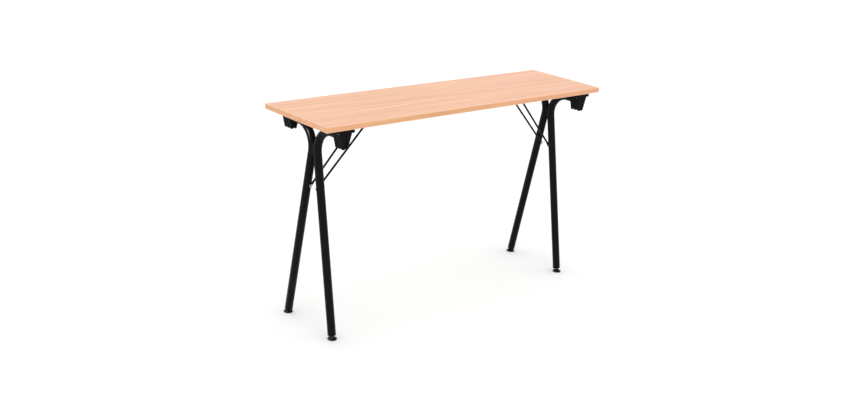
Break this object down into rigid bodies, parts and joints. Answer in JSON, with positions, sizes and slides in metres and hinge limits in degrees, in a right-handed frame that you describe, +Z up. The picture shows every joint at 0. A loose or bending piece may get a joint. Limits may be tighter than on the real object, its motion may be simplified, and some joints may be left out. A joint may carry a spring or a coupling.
{
  "type": "folding table",
  "caption": "Narrow folding table: a beech-faced board on two end frames of bent black tube that fold flat, each held by a wire stay.",
  "frame": {"origin": "on the floor, under the middle of the table top", "axes": "+X along the table's length, +Y to the rear, +Z up"},
  "size_m": [1.25, 0.34, 0.74],
  "materials": {
    "beech_laminate": "satin pale beech laminate with a fine lengthwise grain",
    "beech_edge_band": "satin beech edge band",
    "particle_board": "raw chip board",
    "backing_sheet": "matt balancing sheet",
    "black_powder_coat": "semi-gloss black powder coat",
    "black_wire": "satin black coated wire",
    "black_plastic": "moulded black plastic",
    "pad_plastic": "black plastic glide",
    "zinc_plate": "bright zinc plated steel",
    "spring_steel": "oiled spring steel"
  },
  "bodies": {
    "table_top": {"board_core": "particle_board", "top_laminate": "beech_laminate", "backing_sheet": "backing_sheet", "front_edge_band": "beech_edge_band", "rear_edge_band": "beech_edge_band", "left_edge_band": "beech_edge_band", "right_edge_band": "beech_edge_band", "left_front_block": "black_plastic", "left_rear_block": "black_plastic", "right_front_block": "black_plastic", "right_rear_block": "black_plastic", "block_screws": "zinc_plate", "left_catch": "zinc_plate", "right_catch": "zinc_plate", "left_catch_leaf": "spring_steel", "right_catch_leaf": "spring_steel", "catch_screws": "zinc_plate"},
    "left_frame": {"left_front_tube": "black_powder_coat", "left_rear_tube": "black_powder_coat", "left_weld_beads": "black_powder_coat", "left_pivot_caps": "black_plastic", "left_stay_inserts": "black_powder_coat", "left_stay_screws": "zinc_plate", "left_foot_plugs": "black_plastic"},
    "left_stay_wire": {"left_stay": "black_wire"},
    "left_front_glide": {"left_front_stem": "zinc_plate", "left_front_pad": "pad_plastic"},
    "left_rear_glide": {"left_rear_stem": "zinc_plate", "left_rear_pad": "pad_plastic"},
    "right_frame": {"right_front_tube": "black_powder_coat", "right_rear_tube": "black_powder_coat", "right_weld_beads": "black_powder_coat", "right_pivot_caps": "black_plastic", "right_stay_inserts": "black_powder_coat", "right_stay_screws": "zinc_plate", "right_foot_plugs": "black_plastic"},
    "right_stay_wire": {"right_stay": "black_wire"},
    "right_front_glide": {"right_front_stem": "zinc_plate", "right_front_pad": "pad_plastic"},
    "right_rear_glide": {"right_rear_stem": "zinc_plate", "right_rear_pad": "pad_plastic"}
  },
  "joints": [
    {"name": "left_fold", "type": "hinge", "parent": "table_top", "child": "left_frame", "pos_m": [-0.545, 0, 0.696], "axis": [0, -1, 0], "range_deg": [0, 86.6]},
    {"name": "left_stay_swing", "type": "hinge", "parent": "left_frame", "child": "left_stay_wire", "pos_m": [-0.545, 0, 0.49], "axis": [0, -1, 0], "range_deg": [-129.67, 0.5]},
    {"name": "left_front_level", "type": "slide", "parent": "left_frame", "child": "left_front_glide", "axis": [0, -0.1839, -0.9829], "range_m": [0, 0.012]},
    {"name": "left_rear_level", "type": "slide", "parent": "left_frame", "child": "left_rear_glide", "axis": [0, 0.1839, -0.9829], "range_m": [0, 0.012]},
    {"name": "right_fold", "type": "hinge", "parent": "table_top", "child": "right_frame", "pos_m": [0.545, 0, 0.696], "axis": [0, 1, 0], "range_deg": [0, 90]},
    {"name": "right_stay_swing", "type": "hinge", "parent": "right_frame", "child": "right_stay_wire", "pos_m": [0.545, 0, 0.49], "axis": [0, 1, 0], "range_deg": [-134.75, 0.5]},
    {"name": "right_front_level", "type": "slide", "parent": "right_frame", "child": "right_front_glide", "axis": [0, -0.1839, -0.9829], "range_m": [0, 0.012]},
    {"name": "right_rear_level", "type": "slide", "parent": "right_frame", "child": "right_rear_glide", "axis": [0, 0.1839, -0.9829], "range_m": [0, 0.012]}
  ],
  "couplings": [
    {"joint": "left_stay_swing", "follows": "left_fold", "ratio": -1.4916},
    {"joint": "right_stay_swing", "follows": "right_fold", "ratio": -1.4916}
  ]
}
